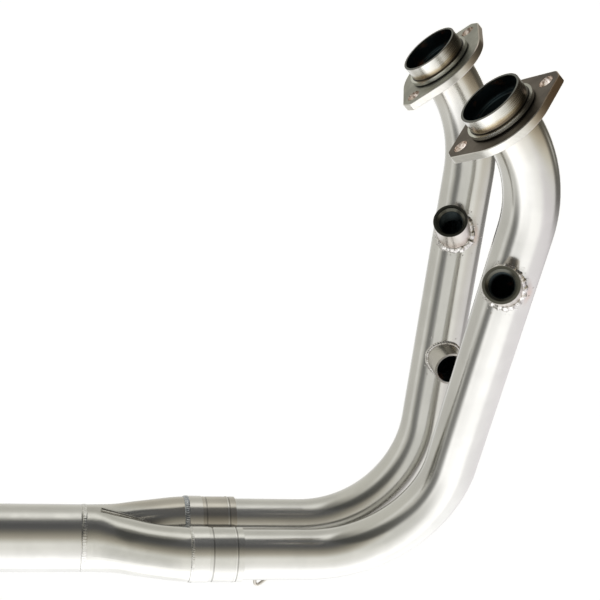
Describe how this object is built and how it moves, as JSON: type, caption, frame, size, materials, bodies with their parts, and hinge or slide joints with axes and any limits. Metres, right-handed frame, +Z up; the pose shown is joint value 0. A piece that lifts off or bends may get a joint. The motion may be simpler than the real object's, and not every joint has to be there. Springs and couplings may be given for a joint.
{
  "type": "motorcycle exhaust header",
  "caption": "Bent stainless exhaust header with bolted port flanges, sensor bosses, slip sleeves and a merge collector ending in a plain round outlet.",
  "frame": {"origin": "centre of the outlet pipe's open end, on the header's mid-plane", "axes": "+X runs forward along the outlet toward the front bends, +Y toward the left pipe, +Z up; the lower runs lie level in the XY plane"},
  "size_m": [0.3886, 0.2092, 0.4218],
  "materials": {
    "pipe_steel": "brushed along the tube, bright",
    "collector_steel": "brushed, slightly duller than the tubes",
    "sleeve_steel": "brushed, with rolled lines",
    "collar_steel": "turned, with a straw heat tint",
    "flange_steel": "flat ground plate",
    "boss_steel": "turned",
    "weld_metal": "bare weld bead",
    "hook_wire": "drawn wire"
  },
  "bodies": {
    "root": {"right_header_pipe": "pipe_steel", "left_header_pipe": "pipe_steel", "right_port_collar": "collar_steel", "left_port_collar": "collar_steel", "right_port_flange": "flange_steel", "left_port_flange": "flange_steel", "right_port_weld": "weld_metal", "left_port_weld": "weld_metal", "right_sensor_boss": "boss_steel", "left_sensor_boss": "boss_steel", "balance_stub": "boss_steel", "right_boss_weld": "weld_metal", "left_boss_weld": "weld_metal", "balance_weld": "weld_metal", "right_slip_sleeve": "sleeve_steel", "left_slip_sleeve": "sleeve_steel", "right_collector_half": "collector_steel", "left_collector_half": "collector_steel", "outlet_pipe": "pipe_steel", "right_sleeve_weld": "weld_metal", "left_sleeve_weld": "weld_metal", "outlet_weld": "weld_metal", "upper_seam_weld": "weld_metal", "lower_seam_weld": "weld_metal", "spring_hook": "hook_wire"}
  },
  "joints": []
}
